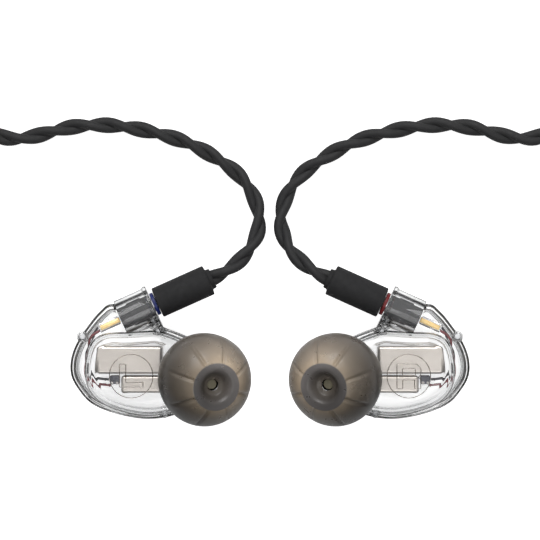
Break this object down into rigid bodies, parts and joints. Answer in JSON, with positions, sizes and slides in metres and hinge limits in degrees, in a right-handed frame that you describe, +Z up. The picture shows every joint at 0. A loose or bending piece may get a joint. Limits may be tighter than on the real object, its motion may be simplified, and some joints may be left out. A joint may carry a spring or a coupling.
{
  "type": "in-ear monitors",
  "caption": "Clear-shelled in-ear monitors with silicone ear tips, metal drivers inside and a detachable twisted black cable ending in a stereo plug.",
  "frame": {"origin": "on the table, under the middle of the two earpieces with their cable connectors", "axes": "+X from the left earpiece to the right one, +Y towards the cable, +Z up from the faceplates to the ear tips"},
  "size_m": [0.0904, 0.1029, 0.0186],
  "materials": {
    "clear_plastic": "clear polished",
    "smoke_silicone": "satin translucent",
    "driver_metal": "satin nickel",
    "jack_grey": "satin",
    "gold": "gold plated",
    "black_soft_plastic": "satin",
    "cord_black": "satin",
    "blue_ring": "gloss",
    "red_ring": "gloss",
    "board_blue": "solder mask",
    "wire_red": "enamel",
    "wire_dark": "enamel",
    "steel": "turned",
    "clear_tube": "clear",
    "damper_grey": "mesh"
  },
  "bodies": {
    "cable": {"cable_coil": "cord_black", "coil_tie_1": "black_soft_plastic", "coil_tie_2": "black_soft_plastic", "y_split": "black_soft_plastic", "main_cord": "cord_black", "plug_strain_relief": "black_soft_plastic", "plug_body": "black_soft_plastic", "plug_core": "black_soft_plastic", "plug_sleeve": "gold", "plug_ring_contact": "gold", "plug_tip": "gold", "left_branch_cord": "cord_black", "left_connector_barrel": "black_soft_plastic", "left_colour_ring": "blue_ring", "left_connector_shell": "steel", "left_connector_pin": "gold", "right_branch_cord": "cord_black", "right_connector_barrel": "black_soft_plastic", "right_colour_ring": "red_ring", "right_connector_shell": "steel", "right_connector_pin": "gold"},
    "left_plug_ring": {"left_snap_ring": "steel"},
    "left_earpiece": {"left_outer_shell": "clear_plastic", "left_inner_shell": "clear_plastic", "left_alignment_pin_1": "clear_plastic", "left_alignment_pin_2": "clear_plastic", "left_alignment_pin_3": "clear_plastic", "left_socket_housing": "clear_plastic", "left_jack_body": "jack_grey", "left_jack_contact": "gold", "left_woofer": "driver_metal", "left_tweeter": "driver_metal", "left_terminal_board": "board_blue", "left_wire_red": "wire_red", "left_wire_dark": "wire_dark", "left_woofer_tube": "clear_tube", "left_tweeter_tube": "clear_tube", "left_nozzle": "clear_plastic", "left_nozzle_damper": "damper_grey"},
    "left_tip": {"left_ear_tip": "smoke_silicone"},
    "right_plug_ring": {"right_snap_ring": "steel"},
    "right_earpiece": {"right_outer_shell": "clear_plastic", "right_inner_shell": "clear_plastic", "right_alignment_pin_1": "clear_plastic", "right_alignment_pin_2": "clear_plastic", "right_alignment_pin_3": "clear_plastic", "right_socket_housing": "clear_plastic", "right_jack_body": "jack_grey", "right_jack_contact": "gold", "right_woofer": "driver_metal", "right_tweeter": "driver_metal", "right_terminal_board": "board_blue", "right_wire_red": "wire_red", "right_wire_dark": "wire_dark", "right_woofer_tube": "clear_tube", "right_tweeter_tube": "clear_tube", "right_nozzle": "clear_plastic", "right_nozzle_damper": "damper_grey"},
    "right_tip": {"right_ear_tip": "smoke_silicone"}
  },
  "joints": [
    {"name": "left_swivel", "type": "hinge", "parent": "cable", "child": "left_plug_ring", "pos_m": [-0.01668, 0.00633, 0.0052], "axis": [0.9128, 0.4083, 0], "continuous": true},
    {"name": "left_unplug", "type": "slide", "parent": "left_plug_ring", "child": "left_earpiece", "axis": [-0.9128, -0.4083, 0], "range_m": [0, 0.008]},
    {"name": "left_tip_pull", "type": "slide", "parent": "left_earpiece", "child": "left_tip", "axis": [0.3291, -0.179, 0.9272], "range_m": [0, 0.01]},
    {"name": "right_swivel", "type": "hinge", "parent": "cable", "child": "right_plug_ring", "pos_m": [0.01668, 0.00633, 0.0052], "axis": [-0.9128, 0.4083, 0], "continuous": true},
    {"name": "right_unplug", "type": "slide", "parent": "right_plug_ring", "child": "right_earpiece", "axis": [0.9128, -0.4083, 0], "range_m": [0, 0.008]},
    {"name": "right_tip_pull", "type": "slide", "parent": "right_earpiece", "child": "right_tip", "axis": [-0.3291, -0.179, 0.9272], "range_m": [0, 0.01]}
  ]
}
